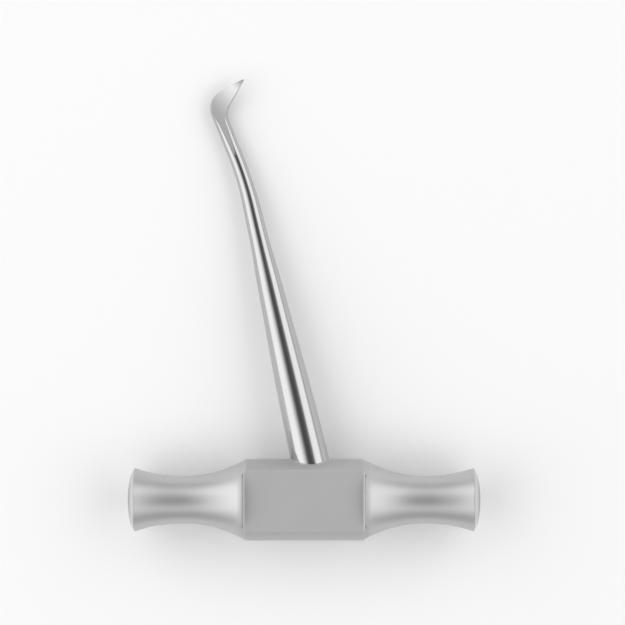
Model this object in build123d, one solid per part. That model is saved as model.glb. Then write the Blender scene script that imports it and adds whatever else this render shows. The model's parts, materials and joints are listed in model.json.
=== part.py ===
"""Crossbar dental elevator, lying on its back as it comes to rest on a tray. Lengths in millimetres.

The model is drawn flat, in the plane of its T shape: X runs along the handle, Y from the handle towards
the blade and Z up through the ground face of the blade, with the handle's axis through the origin.
lie_down() then tips it onto the hub's shoulders and the back of its neck, and puts the origin under the
middle of its box, on the tray.
"""

import os
from math import asin, atan2, cos, degrees, hypot, pi, radians, sin

from build123d import *

# Handle, turned from one bar
hub_length = 29.1
hub_radius = 10.2
waist_from_centre = 30.3
waist_radius = 5.93
rim_from_centre = 42.4
rim_radius = 7.95
end_chamfer_length = 0.95
dome_radius = 6.1
dome_height = 0.7
hub_corner_round = 0.5
rim_edge_round = 0.2

# Flats milled on the front and the back of the hub
across_flats = 13.5
flat_length = 30.5
flat_corner_round = 0.6
flat_edge_round = 0.3

# Bore for the tang, and the ring of solder that fills the corner around the shank
bore_clearance = 0.02
bore_end_gap = 0.5
solder_fillet = 0.45

# Shank, a leaning taper: diameters at distances along its axis from the axis of the handle
shank_offset = 3.8
shank_lean = 13.0
tang_below_axis = 4.0
tang_end_chamfer = 0.6
root_above_hub = 2.4
root_diameter = 9.42
belly_at = 31.5
belly_diameter = 8.34
thigh_at = 50.0
thigh_diameter = 6.66
shoulder_at = 57.0
shoulder_diameter = 6.0
slim_at = 65.0
slim_diameter = 4.98

# Neck: the shank thins into it along a bend, and it runs straight to the blade
bend_at = 74.9
bend_angle = 9.0
bend_radius = 88.0
bend_start_diameter = 4.37
bend_middle_diameter = 3.82
neck_diameter = 3.62
neck_length = 8.3

# Sections of the loft along the shank, which close up towards the blade, and along the blade
shank_sections = 26
section_spread = 1.5
blade_sections = 9

# Blade, seen from the front: X across the end of the neck towards the point, Y on along the neck
point_across = 9.36
point_along = 8.2
heel_start_along = 2.8
heel_across = -0.19
heel_along = 6.55
brow_across = 2.69
brow_along = 7.81
throat_corner_along = 2.36
throat_radius = 4.4
point_dip = 0.03
blade_flatness = 0.35
point_cut = 0.03

# Ground face of the blade: a flat that starts on the neck and a hollow that lifts the point
face_lead = 8.8
face_slope = 1.5
hollow_along = 2.5
hollow_radius = 20.0
hollow_heading = 21.5
hollow_sweep = 50.0
face_seat = 0.3
heel_fraction = 0.4


def handle_profile():
    """The handle's outline above its axis, drawn from the middle to one end and mirrored to the other."""
    hub_end = hub_length / 2
    waist = (waist_from_centre, waist_radius)
    rim = (rim_from_centre, rim_radius)
    dome_edge = (rim_from_centre + end_chamfer_length, dome_radius)
    apex = (dome_edge[0] + dome_height, 0)
    outline = [
        Polyline(apex, (0, 0), (0, hub_radius), (hub_end, hub_radius)),
        TangentArc(waist, (hub_end, hub_radius), tangent=(-1, 0)),
        TangentArc(waist, rim, tangent=(1, 0)),
        Line(rim, dome_edge),
        TangentArc(apex, dome_edge, tangent=(0, 1)),
    ]
    half = make_face(outline)
    half = fillet(half.vertices().sort_by_distance((hub_end, hub_radius))[0], hub_corner_round)
    half = fillet(half.vertices().sort_by_distance(rim)[0], rim_edge_round)
    return half + mirror(half, Plane.YZ)


def flat_cutter():
    """The metal that a milling cutter takes off the front of the hub, between the two shoulders."""
    depth = 2 * hub_radius - across_flats
    slab = Rectangle(flat_length, depth)
    corners = slab.vertices().group_by(Axis.Y)[0]
    slab = fillet(corners, flat_corner_round)
    slab = Plane.XZ * Pos(0, across_flats / 2 + depth / 2) * slab
    return extrude(slab, hub_radius, both=True)


def root_at():
    """Where the taper starts along the shank's axis, just clear of the hub and the solder."""
    return hub_radius + root_above_hub


def shank_frame(distance):
    """The frame at a distance along the shank's axis: X across the shank, Y along it, Z to the front."""
    frame = Pos(shank_offset, 0, 0) * Rot(0, 0, shank_lean)
    bend_length = bend_radius * radians(bend_angle)
    turned = min(max(distance - bend_at, 0), bend_length)
    frame = frame * Pos(-bend_radius, min(distance, bend_at), 0)
    frame = frame * Rot(0, 0, degrees(turned / bend_radius))
    return frame * Pos(bend_radius, max(distance - bend_at - bend_length, 0), 0)


def round_section(distance, diameter):
    """A round section across the shank."""
    return shank_frame(distance) * Rot(-90, 0, 0) * Circle(diameter / 2)


def rod_in_hub(diameter, bottom, top):
    """A round rod on the shank's axis, between two distances from the axis of the handle."""
    return shank_frame((bottom + top) / 2) * Rot(-90, 0, 0) * Cylinder(diameter / 2, top - bottom)


def neck_end():
    """The frame where the neck ends and the blade begins."""
    return shank_frame(bend_at + bend_radius * radians(bend_angle) + neck_length)


def blade_outline():
    """The outer and the inner edge of the blade, from the end of the neck to the point."""
    side = neck_diameter / 2
    point = (point_across, point_along)
    heel_start = (-side, heel_start_along)
    heel = Spline(heel_start, (heel_across, heel_along), (brow_across, brow_along), point,
                  tangents=((0, 1), (1, -point_dip)))
    outer = Wire([Line((-side, 0), heel_start), heel])
    throat = FilletPolyline((side, 0), (side, throat_corner_along), point, radius=throat_radius)
    return outer, Wire(throat.edges())


def face_height(x, y):
    """Height of the ground face at a place in the frame of the neck's end."""
    flat = neck_diameter / 2 - (face_lead + y) * sin(radians(face_slope))
    heading = radians(hollow_heading)
    reach = max(x * cos(heading) + (y - hollow_along) * sin(heading), 0)
    return flat + hollow_radius - (hollow_radius ** 2 - reach ** 2) ** 0.5


def blade_section(fraction, outer, inner):
    """An oval across the blade, as wide as its outline, whose front the ground face cuts off."""
    left, right = outer @ fraction, inner @ fraction
    middle, chord = (left + right) / 2, right - left
    depth = chord.length * (1 - blade_flatness * sin(pi * fraction))
    seat = face_height(middle.X, middle.Y) - face_seat * depth / 2
    lift = seat * min(fraction / heel_fraction, 1)
    frame = neck_end() * Pos(middle.X, middle.Y, lift) * Rot(0, 0, degrees(atan2(chord.Y, chord.X)))
    return frame * Rot(-90, 0, 0) * Ellipse(chord.length / 2, depth / 2)


def shank_loft_sections():
    """Round sections from the root of the shank to the end of the neck, then ovals to the point."""
    bend_end = bend_at + bend_radius * radians(bend_angle)
    taper = Spline(
        (root_at(), root_diameter / 2),
        (belly_at, belly_diameter / 2),
        (thigh_at, thigh_diameter / 2),
        (shoulder_at, shoulder_diameter / 2),
        (slim_at, slim_diameter / 2),
        (bend_at, bend_start_diameter / 2),
        ((bend_at + bend_end) / 2, bend_middle_diameter / 2),
        (bend_end, neck_diameter / 2),
        (bend_end + neck_length, neck_diameter / 2),
    )
    sections = []
    for step in range(shank_sections):
        part = step / shank_sections
        station = taper @ (section_spread * part + (1 - section_spread) * part ** 2)
        sections.append(round_section(station.X, 2 * station.Y))
    outer, inner = blade_outline()
    for step in range(blade_sections + 1):
        sections.append(blade_section(step / blade_sections * (1 - point_cut), outer, inner))
    return sections


def face_cutter():
    """What grinding takes off the front: a flat along the neck that runs on into a hollow at the blade."""
    sweep = radians(hollow_sweep)
    back = (-face_lead, 0)
    hollow_end = (hollow_radius * sin(sweep), hollow_radius * (1 - cos(sweep)))
    outline = [
        Line(back, (0, 0)),
        TangentArc((0, 0), hollow_end, tangent=(1, 0)),
        Polyline(hollow_end, (back[0], hollow_end[1]), back),
    ]
    wheel_path = neck_end() * Pos(0, -face_lead, neck_diameter / 2) * Rot(-face_slope, 0, 0)
    wheel_path = wheel_path * Pos(0, face_lead + hollow_along, 0) * Rot(0, 0, hollow_heading)
    return extrude(wheel_path * Rot(90, 0, 0) * make_face(outline), face_lead + hollow_along, both=True)


def handle():
    """The turned bar with its two flats, its bore and the ring of solder around the bore's mouth."""
    turned = revolve(handle_profile(), Axis.X)
    cutters = [flat_cutter(), mirror(flat_cutter(), Plane.XY)]
    milled = turned - cutters
    rims = new_edges(turned, *cutters, combined=milled).filter_by(GeomType.CIRCLE)
    bar = fillet(rims, flat_edge_round)
    bore_diameter = root_diameter + 2 * bore_clearance
    post = rod_in_hub(bore_diameter, 0, root_at() + solder_fillet)
    joined = bar + post
    seam = new_edges(bar, post, combined=joined)
    joined = fillet(seam, solder_fillet)
    bore_bottom = -tang_below_axis - bore_end_gap
    return joined - rod_in_hub(bore_diameter, bore_bottom, root_at() + 2 * solder_fillet)


def shank(sections):
    """The shank with its tang below and its ground blade above."""
    tang = rod_in_hub(root_diameter, -tang_below_axis, root_at())
    bottom_edge = tang.edges().sort_by(Axis.Y)[0]
    tang = chamfer(bottom_edge, tang_end_chamfer)
    return tang + loft(sections) - face_cutter()


def rest_tilt(bar, sections):
    """How far the T tips about the handle's axis until a section is as low as the hub's round shoulders."""
    shoulder_drop = -bar.bounding_box().min.Z
    tilts = []
    for section in sections:
        reach, low = section.center().Y, section.bounding_box().min.Z
        tilts.append(asin(shoulder_drop / hypot(reach, low)) - atan2(-low, reach))
    return degrees(min(tilts))


def lie_down(solids, tilt):
    """The solids tipped onto the tray, with the origin under the middle of their box."""
    tipped = [Rot(-tilt, 0, 0) * solid for solid in solids]
    box = Compound(tipped).bounding_box()
    shift = Pos(-(box.min.X + box.max.X) / 2, -(box.min.Y + box.max.Y) / 2, -box.min.Z)
    return [shift * solid for solid in tipped]


def main():
    """Builds both pieces and writes one file for each."""
    bar = handle()
    sections = shank_loft_sections()
    pieces = lie_down([bar, shank(sections)], rest_tilt(bar, sections))
    os.makedirs("parts", exist_ok=True)
    for name, piece in zip(("handle", "shank"), pieces):
        export_step(piece, f"parts/{name}.step")


if __name__ == "__main__":
    main()
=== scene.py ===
"""A crossbar dental elevator on a pale studio floor.

It has a turned T handle and a polished shank with a ground blade. Each piece is drawn in the plane of the T,
with X along the handle, Y from the handle towards the blade and Z out of the front, and is then laid down as
the packed frame has it.
"""

import json
from math import atan2, cos, hypot, pi, radians, sin, sqrt, tan

import bpy
import numpy as np
from bpy.props import FloatProperty, FloatVectorProperty, IntProperty, PointerProperty
from mathutils import Matrix, Vector


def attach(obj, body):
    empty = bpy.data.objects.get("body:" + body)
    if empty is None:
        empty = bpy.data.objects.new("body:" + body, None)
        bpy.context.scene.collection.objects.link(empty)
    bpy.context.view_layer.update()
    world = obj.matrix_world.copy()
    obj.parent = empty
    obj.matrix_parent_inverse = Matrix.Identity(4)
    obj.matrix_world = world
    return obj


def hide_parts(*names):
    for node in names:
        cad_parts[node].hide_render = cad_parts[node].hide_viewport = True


bl_info = {
    "name": "Crossbar Dental Elevator",
    "version": (1, 0, 0),
    "blender": (4, 5, 0),
    "location": "3D View > Sidebar > Elevator",
    "description": "Builds a crossbar dental elevator and a pale studio around its packed frame",
    "category": "Add Mesh",
}

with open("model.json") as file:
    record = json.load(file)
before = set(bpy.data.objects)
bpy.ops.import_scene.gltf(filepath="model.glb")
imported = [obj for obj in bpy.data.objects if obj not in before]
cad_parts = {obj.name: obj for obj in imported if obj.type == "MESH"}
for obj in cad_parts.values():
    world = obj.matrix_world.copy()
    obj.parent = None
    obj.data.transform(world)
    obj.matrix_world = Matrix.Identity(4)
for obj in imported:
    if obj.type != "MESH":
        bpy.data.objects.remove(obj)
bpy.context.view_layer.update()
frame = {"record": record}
MM = 0.001

# Points closer than WELD are one, and a shoulder's upright face takes up STEP along the handle
WELD = 1e-7
STEP = 1e-6
SHARP_EDGE = radians(32)

# Points on the pieces: around the bore and the solder ring, and along the shank and the blade
BORE_SIDES = 128
SOLDER_SIDES = 160
SOLDER_STEPS = 8
TANG_RINGS = 12
TAPER_RINGS = 50
NECK_RINGS = 70
BLADE_RINGS = 150
EDGE_POINTS = 200
THROAT_POINTS = 40

# How deep the solder ring sits in the metal
SOLDER_UNDER = 0.05 * MM

# Shares of the way across the hollow over which the ground face's painted highlight turns to painted shade, and
# how dark the point's painted shade is against that highlight
POINT_SHADE_FROM = 0.68
POINT_SHADE_TO = 0.95
POINT_SHADE = -0.8

# Soft boxes: degrees to the side and up from the camera, level, and shares that fade at left, right, foot, head
LAMPS = {
    "left_box": ((-92, -5), (-46, 60), 0.95, (0.26, 0.5, 0.3, 0.3)),
    "right_box": ((24, 78), (-46, 60), 0.85, (0.2, 0.25, 0.3, 0.3)),
    "top_box": ((-35, 35), (20, 70), 0.3, (0.2, 0.2, 0.35, 0.35)),
    "low_box": ((-35, 35), (-62, -20), 0.35, (0.2, 0.2, 0.35, 0.35)),
}


def laid_down():
    """The place of the T's own frame in the packed frame, read from the two flats of the hub."""
    flats = {mount["name"]: mount for mount in frame["record"]["mounts"]}
    front, back = (Vector(flats[name]["pos_m"]) for name in ("front_flat", "back_flat"))
    out = Vector(flats["front_flat"]["axis"]).normalized()
    along = Vector((0, out.z, -out.y))
    place = Matrix((Vector((1, 0, 0)), along, out)).transposed().to_4x4()
    place.translation = (front + back) / 2
    return place


LYING = laid_down()


# Sizes and colours


def length(name, description, millimetres, low=0.0):
    """A length property with its default in millimetres."""
    return FloatProperty(name=name, description=description, default=millimetres * MM, min=low,
                         precision=5, unit="LENGTH", subtype="DISTANCE")


def angle(name, description, degrees_wide):
    """An angle property with its default in degrees."""
    return FloatProperty(name=name, description=description, default=radians(degrees_wide), unit="ROTATION",
                         subtype="ANGLE")


def share(name, description, value):
    """A property between 0 and 1."""
    return FloatProperty(name=name, description=description, default=value, min=0, max=1, subtype="FACTOR")


def colour(name, description, grey):
    """A colour property with a grey default."""
    return FloatVectorProperty(name=name, description=description, default=(grey, grey, grey), min=0, max=1,
                               subtype="COLOR")


class ElevatorHandleSizes(bpy.types.PropertyGroup):
    """Sizes of the turned handle."""

    hub_length: length("Hub Length", "Length of the round hub in the middle", 29.1)
    hub_radius: length("Hub Radius", "Radius of the round hub", 10.2)
    hub_corner: length("Hub Corner", "How far the hub's ends are eased into the grips", 0.08)
    waist_at: length("Waist Position", "Distance of each grip's waist from the middle", 30.3)
    waist_radius: length("Waist Radius", "Radius of each grip at its waist", 5.93)
    rim_at: length("Rim Position", "Distance of each rim from the middle", 42.4)
    rim_radius: length("Rim Radius", "Radius of the rims", 7.95)
    rim_ease: length("Rim Ease", "How far the rims' edges are eased", 0.24)
    chamfer_length: length("End Chamfer", "Length of the chamfer outside each rim", 0.95)
    dome_radius: length("Dome Radius", "Radius of the dome on each end", 6.1)
    dome_height: length("Dome Height", "Height of the dome on each end", 0.7)
    across_flats: length("Across Flats", "Distance between the front and the back flat", 13.5)
    flat_length: length("Flat Length", "Length of each flat between the shoulders", 30.5)
    flat_corner: length("Flat Corner", "Radius that the cutter leaves at the foot of each shoulder", 0.6)
    edge_round: length("Edge Round", "Radius of the shoulders' edges", 0.3)
    edge_ease: length("Edge Ease", "How far the long edges of the flats are eased", 0.15)
    sides: IntProperty(name="Sides", description="Points around the handle", default=256, min=32, max=512)


class ElevatorShankSizes(bpy.types.PropertyGroup):
    """Sizes of the shank and its neck."""

    offset: length("Offset", "Where the shank's axis crosses the handle's, to the side of the middle", 3.8)
    lean: angle("Lean", "How far the shank leans over", 13)
    tang_below: length("Tang", "How far the tang reaches below the handle's axis", 4.0)
    tang_chamfer: length("Tang Chamfer", "Chamfer of the tang's end", 0.6)
    bore_clearance: length("Bore Clearance", "Clearance around the tang", 0.02)
    bore_gap: length("Bore Gap", "Room below the tang's end", 0.5)
    solder: length("Solder", "Size of the ring of solder around the shank", 0.45)
    root_above_hub: length("Root", "Where the taper starts above the hub", 2.4)
    root_diameter: length("Root Diameter", "Diameter where the shank leaves the hub", 9.42)
    belly_at: length("Belly Position", "Distance of the belly along the shank", 31.5)
    belly_diameter: length("Belly Diameter", "Diameter of the belly", 8.34)
    thigh_at: length("Thigh Position", "Distance of the thigh along the shank", 50.0)
    thigh_diameter: length("Thigh Diameter", "Diameter of the thigh", 6.66)
    shoulder_at: length("Shoulder Position", "Distance of the shoulder along the shank", 57.0)
    shoulder_diameter: length("Shoulder Diameter", "Diameter of the shoulder", 6.0)
    slim_at: length("Slim Position", "Distance of the slim part along the shank", 65.0)
    slim_diameter: length("Slim Diameter", "Diameter of the slim part", 4.98)
    bend_at: length("Bend Position", "Distance of the bend's start along the shank", 74.9)
    bend_angle: angle("Bend Angle", "How far the neck bends back", 9)
    bend_radius: length("Bend Radius", "Radius of the neck's bend", 88.0)
    bend_start_diameter: length("Bend Start Diameter", "Diameter where the bend starts", 4.37)
    bend_middle_diameter: length("Bend Middle Diameter", "Diameter in the middle of the bend", 3.82)
    neck_diameter: length("Neck Diameter", "Diameter of the straight neck", 3.62)
    neck_length: length("Neck Length", "Length of the straight neck", 8.3)
    sides: IntProperty(name="Sides", description="Points around the shank", default=192, min=32, max=512)


class ElevatorBladeSizes(bpy.types.PropertyGroup):
    """Sizes of the blade, from the end of the neck."""

    point_across: length("Point Across", "How far the point stands out to the side", 9.36)
    point_along: length("Point Along", "How far the point stands on along the neck", 8.2)
    heel_start: length("Heel Start", "Where the heel's curve starts along the neck", 2.8)
    heel_across: length("Heel Across", "Place of the heel across the neck", -0.19, low=-1)
    heel_along: length("Heel Along", "Place of the heel along the neck", 6.55)
    brow_across: length("Brow Across", "Place of the brow across the neck", 2.69)
    brow_along: length("Brow Along", "Place of the brow along the neck", 7.81)
    throat_corner: length("Throat Corner", "Where the inner edge turns along the neck", 2.36)
    throat_radius: length("Throat Radius", "Radius of the inner edge's turn", 4.4)
    point_dip: share("Point Dip", "How far the outer edge falls for its run where it meets the point", 0.03)
    flatness: share("Flatness", "How much thinner than wide the blade is in its middle", 0.35)
    point_cut: share("Point Cut", "Share of the outline that is cut off at the point", 0.03)
    face_lead: length("Face Lead", "How far down the neck the ground face starts", 8.8)
    face_slope: angle("Face Slope", "Slope of the ground face along the neck", 1.5)
    hollow_along: length("Hollow Position", "Where the hollow starts along the neck", -1.5, low=-1)
    hollow_radius: length("Hollow Radius", "Radius of the hollow grind", 25.4)
    hollow_heading: angle("Hollow Heading", "Direction of the hollow, from across the neck", 21.5)
    face_seat: share("Face Seat", "Height of the ground face over the blade's middle", 0.3)
    heel_fraction: share("Heel Fraction", "Share of the outline over which the blade rises to its face", 0.4)


class ElevatorFinish(bpy.types.PropertyGroup):
    """Colours and roughness of the two finishes."""

    satin_colour: colour("Satin Colour", "Colour of the satin steel of the handle", 0.56)
    satin_roughness: share("Satin Roughness", "Roughness of the turned grips", 0.43)
    hub_roughness: share("Hub Roughness", "Roughness of the matt hub between the grips", 0.62)
    # Painted highlight: the end chamfers are painted brighter by this share, and the domes beyond them darker
    rim_painted_light: share("Rim Painted Light", "How much brighter the chamfers at the ends are painted, and how much darker the domes", 0.2)
    polish_colour: colour("Polish Colour", "Colour of the polished steel of the shank", 0.5)
    polish_roughness: share("Polish Roughness", "Roughness of the polished shank", 0.08)
    ground_roughness: share("Ground Roughness", "Roughness of the blade's ground face", 0.4)
    # Painted light: the ground face is painted brighter as a highlight, and darker towards the point as painted
    # shade
    ground_painted_light: share("Ground Painted Light", "How much brighter the blade's ground face is painted; near the point it is painted darker instead", 0.5)
    grain: length("Grain", "Size of the satin finish's grain", 0.12)


class ElevatorStudio(bpy.types.PropertyGroup):
    """The floor, the light and the camera."""

    floor_size: length("Floor Size", "Width of the floor", 3000)
    floor_colour: colour("Floor Colour", "Colour of the floor", 0.98)
    camera_shade: share("Camera Shade", "Level of the room round the camera", 0.13)
    room_level: share("Room Level", "Level of the room elsewhere", 0.75)
    end_level: share("End Level", "Share of the room's level that is left beyond the T's two ends", 0.6)
    light_level: FloatProperty(name="Light Level", description="Level of all the lamps", default=1, min=0)
    lamp_distance: length("Lamp Distance", "Distance of the lamps from the object", 1200)
    camera_distance: length("Camera Distance", "Distance of the camera from the T", 830)
    view_width: length("View Width", "Width of what the camera sees at the T", 156.25)
    view_across: length("View Across", "Middle of the picture along the handle", 2.1)
    view_along: length("View Along", "Middle of the picture along the shank", 46.8)


GROUPS = {
    "elevator_handle": ElevatorHandleSizes,
    "elevator_shank": ElevatorShankSizes,
    "elevator_blade": ElevatorBladeSizes,
    "elevator_finish": ElevatorFinish,
    "elevator_studio": ElevatorStudio,
}


# Node trees


class Field:
    """A value in a node tree that ordinary arithmetic builds up."""

    def __init__(self, graph, socket):
        self.graph = graph
        self.socket = socket

    def __add__(self, other):
        return self.graph.math("ADD", self, other)

    def __radd__(self, other):
        return self.graph.math("ADD", other, self)

    def __sub__(self, other):
        return self.graph.math("SUBTRACT", self, other)

    def __rsub__(self, other):
        return self.graph.math("SUBTRACT", other, self)

    def __mul__(self, other):
        return self.graph.math("MULTIPLY", self, other)

    def __rmul__(self, other):
        return self.graph.math("MULTIPLY", other, self)

    def __truediv__(self, other):
        return self.graph.math("DIVIDE", self, other)


class Graph:
    """Adds nodes to a tree and links them."""

    def __init__(self, tree):
        self.tree = tree

    def node(self, kind, inputs=(), **settings):
        """A new node with its settings, and its inputs by name or number."""
        made = self.tree.nodes.new(kind)
        for setting, value in settings.items():
            setattr(made, setting, value)
        for key, value in dict(inputs).items():
            self.feed(made.inputs[key], value)
        return made

    def feed(self, socket, value):
        """Links a field or a socket to a socket, or sets its value."""
        if isinstance(value, Field):
            self.tree.links.new(value.socket, socket)
        elif isinstance(value, bpy.types.NodeSocket):
            self.tree.links.new(value, socket)
        else:
            socket.default_value = value

    def math(self, operation, *values):
        """A field from one of Blender's math operations."""
        made = self.node("ShaderNodeMath", dict(enumerate(values)), operation=operation)
        return Field(self, made.outputs[0])

    def vector(self, x, y, z):
        """A vector field from three numbers or fields."""
        return Field(self, self.node("ShaderNodeCombineXYZ", {"X": x, "Y": y, "Z": z}).outputs[0])

    def parts(self, vector):
        """The three fields of a vector field."""
        made = self.node("ShaderNodeSeparateXYZ", {"Vector": vector})
        return tuple(Field(self, made.outputs[axis]) for axis in "XYZ")

    def ramp(self, value, low, high, start=0.0, end=1.0):
        """A smooth step from start to end while value goes from low to high."""
        made = self.node("ShaderNodeMapRange", interpolation_type="SMOOTHSTEP")
        for key, number in (("Value", value), ("From Min", low), ("From Max", high),
                            ("To Min", start), ("To Max", end)):
            self.feed(made.inputs[key], number)
        return Field(self, made.outputs["Result"])

    def soft_minimum(self, one, other, distance):
        """The lower of two fields, eased where they cross."""
        return self.math("SMOOTH_MIN", one, other, distance)


class PieceTree(Graph):
    """A Geometry Nodes tree that makes one piece."""

    def __init__(self, name):
        super().__init__(bpy.data.node_groups.new(name, "GeometryNodeTree"))
        self.tree.interface.new_socket("Geometry", in_out="INPUT", socket_type="NodeSocketGeometry")
        self.tree.interface.new_socket("Geometry", in_out="OUTPUT", socket_type="NodeSocketGeometry")
        self.source = self.node("NodeGroupInput")
        self.values = {}

    def input(self, name, value, kind="NodeSocketFloat"):
        """A named input of the tree, and what the piece sets it to."""
        socket = self.tree.interface.new_socket(name, in_out="INPUT", socket_type=kind)
        if kind == "NodeSocketFloat":
            socket.subtype = "DISTANCE"
        self.values[socket.identifier] = value
        return Field(self, next(out for out in self.source.outputs if out.identifier == socket.identifier))

    def position(self):
        """The three fields of the position."""
        return self.parts(self.node("GeometryNodeInputPosition").outputs[0])

    def moved(self, geometry, x, y, z):
        """The geometry with its points at x, y, z."""
        made = self.node("GeometryNodeSetPosition", {"Geometry": geometry, "Position": self.vector(x, y, z)})
        return made.outputs[0]

    def kept(self, geometry, name, value):
        """The geometry with a value kept on its points for the material."""
        inputs = {"Geometry": geometry, "Name": name, "Value": value}
        made = self.node("GeometryNodeStoreNamedAttribute", inputs, data_type="FLOAT", domain="POINT")
        return made.outputs[0]

    def welded(self, geometry):
        """The geometry with its doubled points merged."""
        return self.node("GeometryNodeMergeByDistance", {"Geometry": geometry, "Distance": WELD}).outputs[0]

    def finish(self, geometry, material):
        """Ends the tree: closed seams, smooth faces with sharp edges, real geometry and its material."""
        joined = self.welded(geometry)
        bend = self.node("GeometryNodeInputMeshEdgeAngle").outputs["Unsigned Angle"]
        gentle = self.math("LESS_THAN", Field(self, bend), SHARP_EDGE)
        smooth = self.node("GeometryNodeSetShadeSmooth", {"Geometry": joined, "Shade Smooth": gentle},
                           domain="EDGE").outputs[0]
        real = self.node("GeometryNodeRealizeInstances", {"Geometry": smooth}).outputs[0]
        painted = self.node("GeometryNodeSetMaterial", {"Geometry": real, "Material": material}).outputs[0]
        self.node("NodeGroupOutput", {"Geometry": painted})


def grown(name, source, piece_tree):
    """The piece that a tree makes of a source mesh or curve, as a plain mesh laid down in the frame."""
    helper = bpy.data.objects.new(name + "_source", source)
    bpy.context.scene.collection.objects.link(helper)
    modifier = helper.modifiers.new("shape", "NODES")
    modifier.node_group = piece_tree.tree
    for identifier, value in piece_tree.values.items():
        modifier[identifier] = value
    evaluated = helper.evaluated_get(bpy.context.evaluated_depsgraph_get())
    mesh = bpy.data.meshes.new_from_object(evaluated)
    mesh.name = name
    mesh.transform(LYING)
    helper.modifiers.remove(modifier)
    bpy.data.objects.remove(helper)
    piece = bpy.data.objects.new(name, mesh)
    bpy.context.scene.collection.objects.link(piece)
    return piece


# Shapes of the pieces


def arc_height(x, start, low, end, high):
    """Height at x of the arc that leaves (start, low) level and ends at (end, high)."""
    radius = ((end - start) ** 2 + (high - low) ** 2) / (2 * (high - low))
    return low + radius - sqrt(radius ** 2 - (x - start) ** 2)


def soft_minimum(one, other, ease):
    """The lower of two numbers, eased where they are within ease of each other."""
    near = max(ease - abs(one - other), 0) / ease
    return min(one, other) - near * near * ease / 4


def between(start, end, steps, power=1.0):
    """Numbers from start up to, but without, end, which close up towards the start when power is over 1."""
    return [start + (end - start) * (step / steps) ** power for step in range(steps)]


def grip_radius(sizes, x):
    """Radius of the handle at x, from its middle to a rim."""
    if x > sizes.waist_at:
        return arc_height(x, sizes.waist_at, sizes.waist_radius, sizes.rim_at, sizes.rim_radius)
    flare = arc_height(x, sizes.waist_at, sizes.waist_radius, sizes.hub_length / 2, sizes.hub_radius)
    return soft_minimum(sizes.hub_radius, flare, sizes.hub_corner)


def shoulder_centre(sizes):
    """Distance from the axis of the centre of a shoulder's rounded edge, which touches the flare."""
    x = sizes.flat_length / 2 + sizes.edge_round
    fall = (grip_radius(sizes, x) - grip_radius(sizes, x + sizes.edge_round)) / sizes.edge_round
    return grip_radius(sizes, x) - sizes.edge_round * hypot(1, fall)


def handle_outline(sizes):
    """The handle's outline, as places along its axis and radii, from one end to the other."""
    hub_end = sizes.hub_length / 2
    flat_end = sizes.flat_length / 2
    rim = Vector((sizes.rim_at, sizes.rim_radius))
    dome = Vector((sizes.rim_at + sizes.chamfer_length, sizes.dome_radius))
    before_rim = sizes.rim_at - sizes.rim_ease
    after_rim = rim + (dome - rim).normalized() * sizes.rim_ease
    stations = between(0, hub_end - 1 * MM, 8)
    stations += between(hub_end - 1 * MM, flat_end - sizes.flat_corner, 14)
    stations += [flat_end - sizes.flat_corner * cos(pi / 2 * step / 10) for step in range(10)]
    stations += [flat_end - STEP]
    stations += between(flat_end, flat_end + sizes.edge_round, 8, 2)
    stations += between(flat_end + sizes.edge_round, flat_end + 2 * sizes.edge_round, 6)
    stations += between(flat_end + 2 * sizes.edge_round, sizes.waist_at, 42)
    stations += between(sizes.waist_at, before_rim, 40)
    outline = [(x, grip_radius(sizes, x)) for x in stations]
    start = Vector((before_rim, grip_radius(sizes, before_rim)))
    for step in range(7):
        part = step / 6
        outline.append(tuple(start.lerp(rim, part).lerp(rim.lerp(after_rim, part), part)))
    outline += [tuple(after_rim.lerp(dome, step / 6)) for step in range(1, 6)]
    dome_arc = (sizes.dome_radius ** 2 + sizes.dome_height ** 2) / (2 * sizes.dome_height)
    reach = atan2(sizes.dome_radius, dome_arc - sizes.dome_height)
    for step in range(17):
        turn = reach * (1 - step / 16)
        outline.append((dome.x + sizes.dome_height - dome_arc * (1 - cos(turn)), dome_arc * sin(turn)))
    return [(-x, r) for x, r in reversed(outline[1:])] + outline


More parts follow.
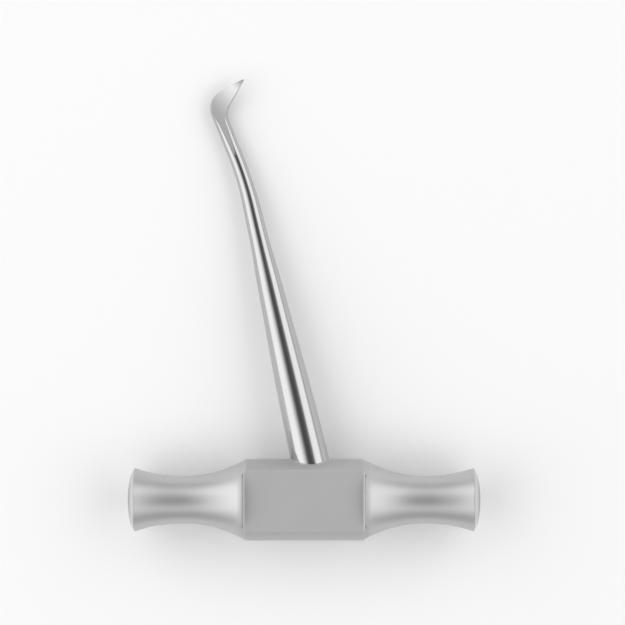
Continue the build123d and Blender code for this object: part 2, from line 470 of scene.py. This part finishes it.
def handle_tree(sizes, shank, material):
    """Turns the outline about the handle's axis, mills the two flats and bores the hub for the tang."""
    tree = PieceTree("turned_handle")
    sides = tree.input("Sides", sizes.sides, "NodeSocketInt")
    across = tree.input("Across Flats", sizes.across_flats)
    flat_length = tree.input("Flat Length", sizes.flat_length)
    corner = tree.input("Flat Corner", sizes.flat_corner)
    edge_round = tree.input("Edge Round", sizes.edge_round)
    edge_centre = tree.input("Edge Centre", shoulder_centre(sizes))
    edge_ease = tree.input("Edge Ease", sizes.edge_ease)
    rim_at = tree.input("Rim Position", sizes.rim_at)
    bore_radius = tree.input("Bore Radius", shank.root_diameter / 2 + shank.bore_clearance)
    bore_depth = tree.input("Bore Depth", shank.tang_below + shank.bore_gap)
    bore_offset = tree.input("Bore Offset", shank.offset)
    bore_lean = tree.input("Bore Lean", shank.lean)

    x, y, z = tree.position()
    outline = tree.source.outputs["Geometry"]
    measured = tree.node("GeometryNodeSetCurveRadius", {"Curve": outline, "Radius": y})
    axis = tree.moved(measured.outputs[0], x, 0.0, 0.0)
    circle = tree.node("GeometryNodeCurvePrimitiveCircle", {"Resolution": sides, "Radius": 1.0}).outputs[0]
    turn = tree.math("ARCTAN2", y, x)
    crowded = turn + tree.math("SINE", turn * 4.0) * 0.2
    circle = tree.moved(circle, tree.math("COSINE", crowded), tree.math("SINE", crowded), 0.0)
    radius = tree.node("GeometryNodeInputRadius").outputs[0]
    turned = {"Curve": axis, "Profile Curve": circle, "Scale": radius}
    bar = tree.node("GeometryNodeCurveToMesh", turned).outputs[0]

    past_shoulder = tree.math("ABSOLUTE", x) - flat_length * 0.5
    height = tree.math("ABSOLUTE", z)
    from_centre = past_shoulder - edge_round
    distance = tree.math("SQRT", y * y + z * z)
    rise = edge_round * edge_round - from_centre * from_centre
    arc = edge_centre + tree.math("SQRT", tree.math("MAXIMUM", rise, 0.0))
    drop = tree.math("MAXIMUM", distance - arc, 0.0)
    on_edge = tree.math("GREATER_THAN", past_shoulder, -WELD)
    on_edge = on_edge * tree.math("LESS_THAN", past_shoulder, edge_round * 1.6)
    on_edge = on_edge * tree.ramp(height, across * 0.5, across * 0.5 + edge_round * 2.0)
    shrink = 1.0 - drop * on_edge / tree.math("MAXIMUM", distance, STEP)
    bar = tree.moved(bar, x, y * shrink, z * shrink)

    into_corner = tree.math("MINIMUM", tree.math("MAXIMUM", past_shoulder + corner, 0.0), corner)
    foot = tree.math("MAXIMUM", corner * corner - into_corner * into_corner, 0.0)
    foot = corner - tree.math("SQRT", foot)
    between_shoulders = tree.math("LESS_THAN", past_shoulder, -WELD)
    limit = across * 0.5 + foot + (1.0 - between_shoulders)
    milled = tree.soft_minimum(height, limit, edge_ease)
    bar = tree.kept(bar, "matt", tree.ramp(past_shoulder, edge_round * 2.0, edge_round * 5.0, 1.0, 0.0))
    # Painted highlight on the end chamfers, and the domes beyond them painted darker
    past_rim = (tree.math("ABSOLUTE", x) - rim_at) / sizes.chamfer_length
    painted_end_light = tree.ramp(past_rim, 0.0, 0.2) * tree.ramp(past_rim, 0.7, 1.0, 1.0, 0.0)
    bar = tree.kept(bar, "painted_end_light", painted_end_light - tree.ramp(past_rim, 0.9, 1.2))
    bar = tree.moved(bar, x, y, milled * tree.math("SIGN", z))
    bar = tree.welded(bar)

    reach = bore_depth + sizes.hub_radius * 2
    drill = tree.node("GeometryNodeMeshCylinder", {
        "Vertices": BORE_SIDES, "Radius": bore_radius, "Depth": reach})
    upright = tree.node("GeometryNodeTransform", {
        "Geometry": drill.outputs[0], "Translation": tree.vector(0.0, 0.0, reach * 0.5 - bore_depth)})
    leaning = tree.node("GeometryNodeTransform", {
        "Geometry": upright.outputs[0], "Translation": tree.vector(bore_offset, 0.0, 0.0),
        "Rotation": tree.vector(-pi / 2, 0.0, bore_lean)})
    bored = tree.node("GeometryNodeMeshBoolean", operation="DIFFERENCE", solver="EXACT")
    tree.feed(bored.inputs["Mesh 1"], bar)
    tree.tree.links.new(leaning.outputs[0], bored.inputs["Mesh 2"])
    tree.finish(bored.outputs["Mesh"], material)
    return tree


def spline_slopes(knots, values, start=None, end=None):
    """Slopes at the knots of the smoothest curve through the values; the end slopes may be given."""
    count = len(knots)
    values = np.array(values, float).reshape(count, -1)
    steps = np.diff(knots)
    rises = np.diff(values, axis=0) / steps[:, None]
    system = np.zeros((count, count))
    wanted = np.zeros(values.shape)
    for place in range(1, count - 1):
        before, after = steps[place - 1], steps[place]
        system[place, place - 1:place + 2] = after, 2 * (before + after), before
        wanted[place] = 3 * (after * rises[place - 1] + before * rises[place])
    for place, slope, near, rise in ((0, start, 1, rises[0]), (count - 1, end, count - 2, rises[-1])):
        system[place, place] = 1 if slope is not None else 2
        if slope is None:
            system[place, near] = 1
        wanted[place] = 3 * rise if slope is None else slope
    return np.linalg.solve(system, wanted)


def spline_at(knots, values, slopes, place):
    """The curve's value at a place."""
    values = np.array(values, float).reshape(len(knots), -1)
    span = min(max(int(np.searchsorted(knots, place)) - 1, 0), len(knots) - 2)
    step = knots[span + 1] - knots[span]
    part = (place - knots[span]) / step
    return (values[span] * (1 + 2 * part) * (1 - part) ** 2 + values[span + 1] * part ** 2 * (3 - 2 * part)
            + step * (slopes[span] * part * (1 - part) ** 2 + slopes[span + 1] * part ** 2 * (part - 1)))


def walk(points, fraction):
    """The place at a fraction of a polyline's length."""
    gone = np.concatenate(([0], np.cumsum(np.linalg.norm(np.diff(points, axis=0), axis=1))))
    return np.array([np.interp(fraction * gone[-1], gone, points[:, axis]) for axis in (0, 1)])


def blade_edges(shank, blade):
    """The outer and the inner edge of the blade as polylines, from the end of the neck to the point."""
    side = shank.neck_diameter / 2
    through = np.array([(-side, blade.heel_start), (blade.heel_across, blade.heel_along),
                        (blade.brow_across, blade.brow_along), (blade.point_across, blade.point_along)])
    knots = np.concatenate(([0], np.cumsum(np.linalg.norm(np.diff(through, axis=0), axis=1))))
    slopes = spline_slopes(knots, through, start=(0, 1), end=(1, -blade.point_dip))
    heel = [spline_at(knots, through, slopes, place) for place in np.linspace(0, knots[-1], EDGE_POINTS)]
    outer = np.array([(-side, 0), *heel])
    corner = Vector((side, blade.throat_corner))
    onward = (Vector(through[-1]) - corner).normalized()
    turn = Vector((0, 1)).angle(onward)
    tangent = blade.throat_radius * tan(turn / 2)
    centre = corner + Vector((blade.throat_radius, -tangent))
    turns = [turn * step / THROAT_POINTS for step in range(THROAT_POINTS + 1)]
    arc = [centre + blade.throat_radius * Vector((-cos(part), sin(part))) for part in turns]
    inner = np.array([(side, 0), *(tuple(point) for point in arc), tuple(through[-1])])
    return outer, inner


def shank_place(shank, distance):
    """The place at a distance along the shank's axis."""
    bend_length = shank.bend_radius * shank.bend_angle
    turned = min(max(distance - shank.bend_at, 0), bend_length) / shank.bend_radius
    place = Matrix.Translation((shank.offset, 0, 0)) @ Matrix.Rotation(shank.lean, 4, "Z")
    place = place @ Matrix.Translation((-shank.bend_radius, min(distance, shank.bend_at), 0))
    place = place @ Matrix.Rotation(turned, 4, "Z")
    return place @ Matrix.Translation((shank.bend_radius, max(distance - shank.bend_at - bend_length, 0), 0))


def face_height(blade, neck_radius, x, y):
    """Height of the ground face at a place on the blade."""
    flat = neck_radius - (blade.face_lead + y) * sin(blade.face_slope)
    reach = max(x * cos(blade.hollow_heading) + (y - blade.hollow_along) * sin(blade.hollow_heading), 0)
    return flat + blade.hollow_radius - sqrt(blade.hollow_radius ** 2 - reach ** 2)


def shank_rings(handle, shank, blade):
    """Rings from the tang to the point: the left and right end of each, its height and half its depth."""
    root = handle.hub_radius + shank.root_above_hub
    bend_end = shank.bend_at + shank.bend_radius * shank.bend_angle
    neck_end = bend_end + shank.neck_length
    knots = [root, shank.belly_at, shank.thigh_at, shank.shoulder_at, shank.slim_at, shank.bend_at,
             (shank.bend_at + bend_end) / 2, bend_end, neck_end]
    diameters = (shank.root_diameter, shank.belly_diameter, shank.thigh_diameter, shank.shoulder_diameter,
                 shank.slim_diameter, shank.bend_start_diameter, shank.bend_middle_diameter,
                 shank.neck_diameter, shank.neck_diameter)
    radii = [diameter / 2 for diameter in diameters]
    slopes = spline_slopes(knots, radii)
    root_radius = shank.root_diameter / 2
    round_rings = [(-shank.tang_below, 0), (-shank.tang_below, root_radius - shank.tang_chamfer),
                   (-shank.tang_below + shank.tang_chamfer, root_radius)]
    round_rings += [(distance, root_radius) for distance in between(0, root, TANG_RINGS)]
    stations = between(root, shank.thigh_at, TAPER_RINGS)
    stations += between(shank.thigh_at, shank.bend_at, TAPER_RINGS)
    stations += between(shank.bend_at, neck_end, NECK_RINGS)
    round_rings += [(distance, float(spline_at(knots, radii, slopes, distance)[0])) for distance in stations]
    rings = []
    for distance, radius in round_rings:
        place = shank_place(shank, distance)
        rings.append((place @ Vector((-radius, 0, 0)), place @ Vector((radius, 0, 0)), 0, radius))
    outer, inner = blade_edges(shank, blade)
    place = shank_place(shank, neck_end)
    for fraction in np.linspace(0, 1 - blade.point_cut, BLADE_RINGS):
        left, right = walk(outer, fraction), walk(inner, fraction)
        middle, chord = (left + right) / 2, hypot(*(right - left))
        depth = chord * (1 - blade.flatness * sin(pi * fraction))
        seat = face_height(blade, shank.neck_diameter / 2, *middle) - blade.face_seat * depth / 2
        lift = seat * min(fraction / blade.heel_fraction, 1)
        rings.append((place @ Vector((*left, 0)), place @ Vector((*right, 0)), lift, depth / 2))
    last = rings[-1]
    middle = (last[0] + last[1]) / 2
    rings.append((middle, middle, last[2], 0))
    return rings


def ring_mesh(rings):
    """A mesh that carries the rings, one point for each."""
    mesh = bpy.data.meshes.new("rings")
    mesh.from_pydata([(left + right) / 2 + Vector((0, 0, lift)) for left, right, lift, half in rings], [], [])
    mesh.attributes.new("reach", "FLOAT_VECTOR", "POINT")
    mesh.attributes.new("half_depth", "FLOAT", "POINT")
    for index, (left, right, lift, half) in enumerate(rings):
        mesh.attributes["reach"].data[index].vector = (right - left) / 2
        mesh.attributes["half_depth"].data[index].value = half
    return mesh


def shank_tree(shank, blade, material):
    """Skins the rings of the shank and the blade, and grinds the face."""
    tree = PieceTree("ground_shank")
    sides = tree.input("Sides", shank.sides, "NodeSocketInt")
    lead = tree.input("Face Lead", blade.face_lead)
    slope = tree.input("Face Slope", blade.face_slope)
    hollow_along = tree.input("Hollow Position", blade.hollow_along)
    hollow_radius = tree.input("Hollow Radius", blade.hollow_radius)
    heading = tree.input("Hollow Heading", blade.hollow_heading)
    neck_radius = tree.input("Neck Radius", shank.neck_diameter / 2)
    crease = tree.input("Crease Ease", 0.02 * MM)
    neck_end = shank_place(shank, shank.bend_at + shank.bend_radius * shank.bend_angle + shank.neck_length)
    origin_x, origin_y = neck_end.translation.x, neck_end.translation.y
    turned = neck_end.to_euler().z

    source = tree.source.outputs["Geometry"]
    counted = tree.node("GeometryNodeAttributeDomainSize", {"Geometry": source}, component="MESH")
    around = sides + 1.0
    grid_size = {"Vertices X": counted.outputs["Point Count"], "Vertices Y": around}
    grid = tree.node("GeometryNodeMeshGrid", grid_size).outputs["Mesh"]
    index = Field(tree, tree.node("GeometryNodeInputIndex").outputs[0])
    ring = tree.math("FLOOR", (index + 0.5) / around)
    turn = (index - ring * around) / sides * (2 * pi)

    def sampled(value, kind):
        """A value of the ring that each point of the grid belongs to."""
        made = tree.node("GeometryNodeSampleIndex", data_type=kind, domain="POINT")
        tree.feed(made.inputs["Geometry"], source)
        tree.feed(made.inputs["Value"], value)
        tree.feed(made.inputs["Index"], ring)
        return Field(tree, made.outputs[0])

    def stored(name, kind):
        """A value that the rings' mesh carries."""
        return tree.node("GeometryNodeInputNamedAttribute", {"Name": name}, data_type=kind).outputs["Attribute"]

    position = tree.node("GeometryNodeInputPosition").outputs[0]
    middle_x, middle_y, middle_z = tree.parts(sampled(position, "FLOAT_VECTOR"))
    reach_x, reach_y, _ = tree.parts(sampled(stored("reach", "FLOAT_VECTOR"), "FLOAT_VECTOR"))
    half_depth = sampled(stored("half_depth", "FLOAT"), "FLOAT")
    swing, rise = tree.math("COSINE", turn), tree.math("SINE", turn)
    skin = tree.moved(grid, middle_x + reach_x * swing, middle_y + reach_y * swing,
                      middle_z + half_depth * rise)

    x, y, z = tree.position()
    from_x, from_y = x - origin_x, y - origin_y
    across = from_x * cos(turned) + from_y * sin(turned)
    along = from_y * cos(turned) - from_x * sin(turned)
    into_hollow = across * tree.math("COSINE", heading) + (along - hollow_along) * tree.math("SINE", heading)
    into_hollow = tree.math("MAXIMUM", into_hollow, 0.0)
    face = neck_radius - (lead + along) * tree.math("SINE", slope) + hollow_radius
    face = face - tree.math("SQRT", hollow_radius * hollow_radius - into_hollow * into_hollow)
    off_blade = tree.math("LESS_THAN", lead + along, 0.0)
    ground = tree.soft_minimum(z, face + off_blade, crease)
    is_face = tree.ramp(z - ground, 0.0, crease)
    into_point = blade.point_across * cos(blade.hollow_heading)
    into_point += (blade.point_along - blade.hollow_along) * sin(blade.hollow_heading)
    skin = tree.kept(skin, "ground", is_face)
    # Painted highlight on the ground face, turning to painted shade towards the point
    point_shading = tree.ramp(into_hollow, into_point * POINT_SHADE_FROM, into_point * POINT_SHADE_TO, 1.0, POINT_SHADE)
    skin = tree.kept(skin, "painted_face_light", is_face * point_shading)
    skin = tree.moved(skin, x, y, ground)
    tree.finish(skin, material)
    return tree


def solder_tree(handle, shank, material):
    """A ring of solder that follows the line where the shank enters the hub."""
    tree = PieceTree("solder_ring")
    radius = tree.input("Shank Radius", shank.root_diameter / 2)
    hub = tree.input("Hub Radius", handle.hub_radius)
    lean = tree.input("Lean", shank.lean)
    offset = tree.input("Offset", shank.offset)
    circle_size = {"Resolution": SOLDER_SIDES, "Radius": radius}
    circle = tree.node("GeometryNodeCurvePrimitiveCircle", circle_size).outputs[0]
    profile = tree.source.outputs["Geometry"]
    ring = tree.node("GeometryNodeCurveToMesh", {"Curve": circle, "Profile Curve": profile}).outputs[0]
    x, y, z = tree.position()
    rise = tree.math("SQRT", hub * hub - y * y)
    along = (rise - x * tree.math("SINE", lean)) / tree.math("COSINE", lean) + z
    placed_x = offset + x * tree.math("COSINE", lean) - along * tree.math("SINE", lean)
    placed_y = x * tree.math("SINE", lean) + along * tree.math("COSINE", lean)
    placed = tree.moved(ring, placed_x, placed_y, y)
    tree.finish(tree.node("GeometryNodeFlipFaces", {"Mesh": placed}).outputs[0], material)
    return tree


def poly_curve(name, points, closed=False):
    """A curve of straight runs through the points."""
    curve = bpy.data.curves.new(name, "CURVE")
    curve.dimensions = "3D"
    spline = curve.splines.new("POLY")
    spline.points.add(len(points) - 1)
    for point, (x, y) in zip(spline.points, points):
        point.co = (x, y, 0, 1)
    spline.use_cyclic_u = closed
    return curve


# Finishes


def steel(name, colour, roughness):
    """A steel material with its graph, its shader and the place on the object in millimetres."""
    material = bpy.data.materials.new(name)
    material.use_nodes = True
    graph = Graph(material.node_tree)
    shader = material.node_tree.nodes["Principled BSDF"]
    shader.inputs["Base Color"].default_value = (*colour, 1)
    shader.inputs["Metallic"].default_value = 1
    shader.inputs["Roughness"].default_value = roughness
    place = graph.node("ShaderNodeTexCoord").outputs["Object"]
    return material, graph, shader, place


def noise(graph, place, size, stretch=(1, 1, 1), turn=0.0, detail=2.0):
    """A noise between 0 and 1 whose features are about size metres across."""
    mapping = graph.node("ShaderNodeMapping", {"Vector": place, "Rotation": (0, 0, turn),
                                               "Scale": tuple(s / size for s in stretch)})
    made = graph.node("ShaderNodeTexNoise", {"Vector": mapping.outputs[0], "Scale": 1.0, "Detail": detail})
    return Field(graph, made.outputs[0])


def tint(graph, shader, colour, amount):
    """Lightens and darkens the base colour by an amount around 0."""
    channels = {name: (1.0 + amount) * value for name, value in zip(("Red", "Green", "Blue"), colour)}
    graph.feed(shader.inputs["Base Color"], graph.node("ShaderNodeCombineColor", channels).outputs[0])


def kept_value(graph, name):
    """A value that the piece keeps on its points."""
    return Field(graph, graph.node("ShaderNodeAttribute", attribute_name=name).outputs["Fac"])


def satin_steel(finish):
    """Satin steel with a fine grain and turning lines, rougher on the hub, with a painted highlight on the end
    chamfers and the end domes painted darker.
    """
    material, graph, shader, place = steel("satin_steel", finish.satin_colour, finish.satin_roughness)
    matt = kept_value(graph, "matt")
    painted_end_light = kept_value(graph, "painted_end_light")
    grain = noise(graph, place, finish.grain, detail=3.0)
    cloud = noise(graph, place, 6 * MM)
    turning = noise(graph, place, 0.25 * MM, stretch=(1, 0.02, 0.02))
    rough = finish.satin_roughness + (finish.hub_roughness - finish.satin_roughness) * matt
    graph.feed(shader.inputs["Roughness"], rough + (grain - 0.5) * 0.05 + (cloud - 0.5) * 0.04)
    mottling = (cloud - 0.5) * 0.05 + (grain - 0.5) * 0.05
    # The tint carries the painted highlight on the end chamfers and the darker end domes
    tint(graph, shader, finish.satin_colour, mottling + painted_end_light * finish.rim_painted_light)
    bump = graph.node("ShaderNodeBump", {
        "Strength": 0.15, "Distance": 0.02 * MM, "Height": grain + turning * 0.3})
    graph.feed(shader.inputs["Normal"], bump.outputs[0])
    return material


def polished_steel(finish, lean):
    """Polished steel with fine lines along the shank, and a rougher ground face that is painted brighter as a
    highlight and darker towards the point as painted shade.
    """
    material, graph, shader, place = steel("polished_steel", finish.polish_colour, finish.polish_roughness)
    lines = noise(graph, place, 0.08 * MM, stretch=(1, 0.02, 1), turn=-lean)
    cloud = noise(graph, place, 5 * MM)
    ground = kept_value(graph, "ground")
    rough = finish.polish_roughness + (finish.ground_roughness - finish.polish_roughness) * ground
    graph.feed(shader.inputs["Roughness"], rough + (lines - 0.5) * 0.04 + (cloud - 0.5) * 0.03)
    # The tint carries the painted highlight on the ground face and the painted shade at the point
    painted_face_light = kept_value(graph, "painted_face_light")
    tint(graph, shader, finish.polish_colour, (cloud - 0.5) * 0.04 + painted_face_light * finish.ground_painted_light)
    bump = graph.node("ShaderNodeBump", {"Strength": 0.05, "Distance": 0.01 * MM, "Height": lines})
    graph.feed(shader.inputs["Normal"], bump.outputs[0])
    return material


# Studio


def view_centre(studio):
    """The place on the T that the picture is centred on."""
    return LYING @ Vector((studio.view_across, studio.view_along, 0))


def lamp(name, side, up, level, fade, studio):
    """A soft box between angles to the side and up from the camera, which fades at its edges."""
    side_angle, up_angle = radians(sum(side) / 2), radians(sum(up) / 2)
    toward = Vector((sin(side_angle) * cos(up_angle), sin(up_angle), cos(side_angle) * cos(up_angle)))
    toward = LYING.to_3x3() @ toward
    width, height = (2 * studio.lamp_distance * tan(radians(abs(b - a) / 2)) for a, b in (side, up))
    light = bpy.data.lights.new(name, "AREA")
    light.shape = "RECTANGLE"
    light.size, light.size_y = width, height
    light.energy = level * studio.light_level * width * height * pi
    light.use_nodes = True
    graph = Graph(light.node_tree)
    glow = light.node_tree.nodes["Emission"]
    across, upward, _ = graph.parts(graph.node("ShaderNodeNewGeometry").outputs["Parametric"])
    left, right, foot, head = fade
    soft = graph.ramp(across, 0.0, left) * graph.ramp(across, 1.0, 1 - right)
    soft = soft * graph.ramp(upward, 0.0, foot) * graph.ramp(upward, 1.0, 1 - head)
    graph.feed(glow.inputs["Strength"], soft)
    made = bpy.data.objects.new(name, light)
    bpy.context.scene.collection.objects.link(made)
    upright = LYING.to_3x3() @ Vector((0, 1, 0))
    upright = (upright - upright.dot(toward) * toward).normalized()
    turned = Matrix((upright.cross(toward), upright, toward)).transposed().to_4x4()
    made.matrix_world = Matrix.Translation(view_centre(studio) + toward * studio.lamp_distance) @ turned
    return made


def room(studio):
    """A pale grey room, darker round the camera and beyond the T's two ends."""
    world = bpy.data.worlds.new("room")
    world.use_nodes = True
    graph = Graph(world.node_tree)
    glow = world.node_tree.nodes["Background"]
    glow.inputs["Color"].default_value = (1, 1, 1, 1)
    direction = graph.node("ShaderNodeTexCoord").outputs["Generated"]

    def along(axis):
        """How far the direction points along an axis of the T."""
        turned = tuple(LYING.to_3x3() @ Vector(axis))
        made = graph.node("ShaderNodeVectorMath", {0: direction, 1: turned}, operation="DOT_PRODUCT")
        return Field(graph, made.outputs["Value"])

    off_axis = graph.math("ARCCOSINE", along((0, 0, 1)))
    to_ends = graph.math("ABSOLUTE", along((0, 1, 0)))
    level = graph.ramp(off_axis, radians(8), radians(50), studio.camera_shade, studio.room_level)
    level = level * graph.ramp(to_ends, 0.55, 0.95, 1.0, studio.end_level)
    graph.feed(glow.inputs["Strength"], level * studio.light_level)
    return world


def pale_floor(studio):
    """A plain square floor under the object."""
    half = studio.floor_size / 2
    corners = [(-half, -half, 0), (half, -half, 0), (half, half, 0), (-half, half, 0)]
    mesh = bpy.data.meshes.new("floor")
    mesh.from_pydata(corners, [], [(0, 1, 2, 3)])
    paint = bpy.data.materials.new("floor")
    paint.use_nodes = True
    shader = paint.node_tree.nodes["Principled BSDF"]
    shader.inputs["Base Color"].default_value = (*studio.floor_colour, 1)
    shader.inputs["Roughness"].default_value = 0.9
    shader.inputs["Specular IOR Level"].default_value = 0
    mesh.materials.append(paint)
    floor = bpy.data.objects.new("floor", mesh)
    bpy.context.scene.collection.objects.link(floor)
    return floor


def camera(studio):
    """The camera, square to the T."""
    lens = bpy.data.cameras.new("camera")
    lens.sensor_width = 36
    lens.lens = lens.sensor_width * studio.camera_distance / studio.view_width
    lens.clip_start, lens.clip_end = 0.01, 20
    eye = bpy.data.objects.new("camera", lens)
    bpy.context.scene.collection.objects.link(eye)
    place = (studio.view_across, studio.view_along, studio.camera_distance)
    eye.matrix_world = LYING @ Matrix.Translation(place)
    return eye


# Operators


def group(name):
    """One of the scene's property groups."""
    return getattr(bpy.context.scene, name)


class ELEVATOR_OT_handle(bpy.types.Operator):
    """Build the turned handle with its flats and its bore"""

    bl_idname = "elevator.handle"
    bl_label = "Handle"

    def execute(self, context):
        """Builds the handle and stands it for its CAD node."""
        sizes, shank, finish = group("elevator_handle"), group("elevator_shank"), group("elevator_finish")
        outline = poly_curve("handle_outline", handle_outline(sizes))
        piece = grown("turned_handle", outline, handle_tree(sizes, shank, satin_steel(finish)))
        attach(piece, "root")
        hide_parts("handle")
        return {"FINISHED"}


class ELEVATOR_OT_solder(bpy.types.Operator):
    """Build the ring of solder where the shank enters the hub"""

    bl_idname = "elevator.solder"
    bl_label = "Solder Ring"

    def execute(self, context):
        """Builds the ring of solder."""
        sizes, shank = group("elevator_handle"), group("elevator_shank")
        size = shank.solder
        turns = [pi / 2 * step / SOLDER_STEPS for step in range(SOLDER_STEPS + 1)]
        points = [(size * (1 - sin(turn)), size * (1 - cos(turn))) for turn in turns]
        points += [(0, -SOLDER_UNDER), (size, -SOLDER_UNDER)]
        material = bpy.data.materials["satin_steel"]
        piece = grown("solder_ring", poly_curve("solder_profile", points, closed=True),
                      solder_tree(sizes, shank, material))
        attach(piece, "root")
        return {"FINISHED"}


class ELEVATOR_OT_shank(bpy.types.Operator):
    """Build the shank, its neck and the ground blade"""

    bl_idname = "elevator.shank"
    bl_label = "Shank and Blade"

    def execute(self, context):
        """Builds the shank and stands it for its CAD node."""
        shank, blade, finish = group("elevator_shank"), group("elevator_blade"), group("elevator_finish")
        rings = ring_mesh(shank_rings(group("elevator_handle"), shank, blade))
        piece = grown("ground_shank", rings, shank_tree(shank, blade, polished_steel(finish, shank.lean)))
        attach(piece, "root")
        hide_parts("shank")
        return {"FINISHED"}


class ELEVATOR_OT_studio(bpy.types.Operator):
    """Set up the floor, the lamps and the camera"""

    bl_idname = "elevator.studio"
    bl_label = "Studio"

    def execute(self, context):
        """Builds the stage around the object."""
        studio = group("elevator_studio")
        pale_floor(studio)
        context.scene.world = room(studio)
        for name, (side, up, level, fade) in LAMPS.items():
            lamp(name, side, up, level, fade, studio)
        context.scene.camera = camera(studio)
        context.scene.view_settings.view_transform = "Standard"
        return {"FINISHED"}


class ELEVATOR_PT_panel(bpy.types.Panel):
    """Sizes, finishes and steps of the elevator"""

    bl_label = "Crossbar Dental Elevator"
    bl_idname = "ELEVATOR_PT_panel"
    bl_space_type = "VIEW_3D"
    bl_region_type = "UI"
    bl_category = "Elevator"

    def draw(self, context):
        """Lists the settings of each group and the buttons."""
        for name, kind in GROUPS.items():
            box = self.layout.box()
            box.label(text=kind.__doc__)
            settings = getattr(context.scene, name)
            for key in kind.__annotations__:
                box.prop(settings, key)
        for operator in OPERATORS:
            self.layout.operator(operator.bl_idname)


OPERATORS = (ELEVATOR_OT_handle, ELEVATOR_OT_solder, ELEVATOR_OT_shank, ELEVATOR_OT_studio)


def register():
    """Registers the groups, the operators and the panel."""
    for name, kind in GROUPS.items():
        bpy.utils.register_class(kind)
        setattr(bpy.types.Scene, name, PointerProperty(type=kind))
    for operator in OPERATORS:
        bpy.utils.register_class(operator)
    bpy.utils.register_class(ELEVATOR_PT_panel)


def unregister():
    """Removes the panel, the operators and the groups."""
    bpy.utils.unregister_class(ELEVATOR_PT_panel)
    for operator in reversed(OPERATORS):
        bpy.utils.unregister_class(operator)
    for name, kind in GROUPS.items():
        delattr(bpy.types.Scene, name)
        bpy.utils.unregister_class(kind)


def main():
    register()
    bpy.ops.elevator.handle()
    bpy.ops.elevator.solder()
    bpy.ops.elevator.shank()
    bpy.ops.elevator.studio()
    bpy.context.view_layer.update()


if __name__ == "__main__":
    main()
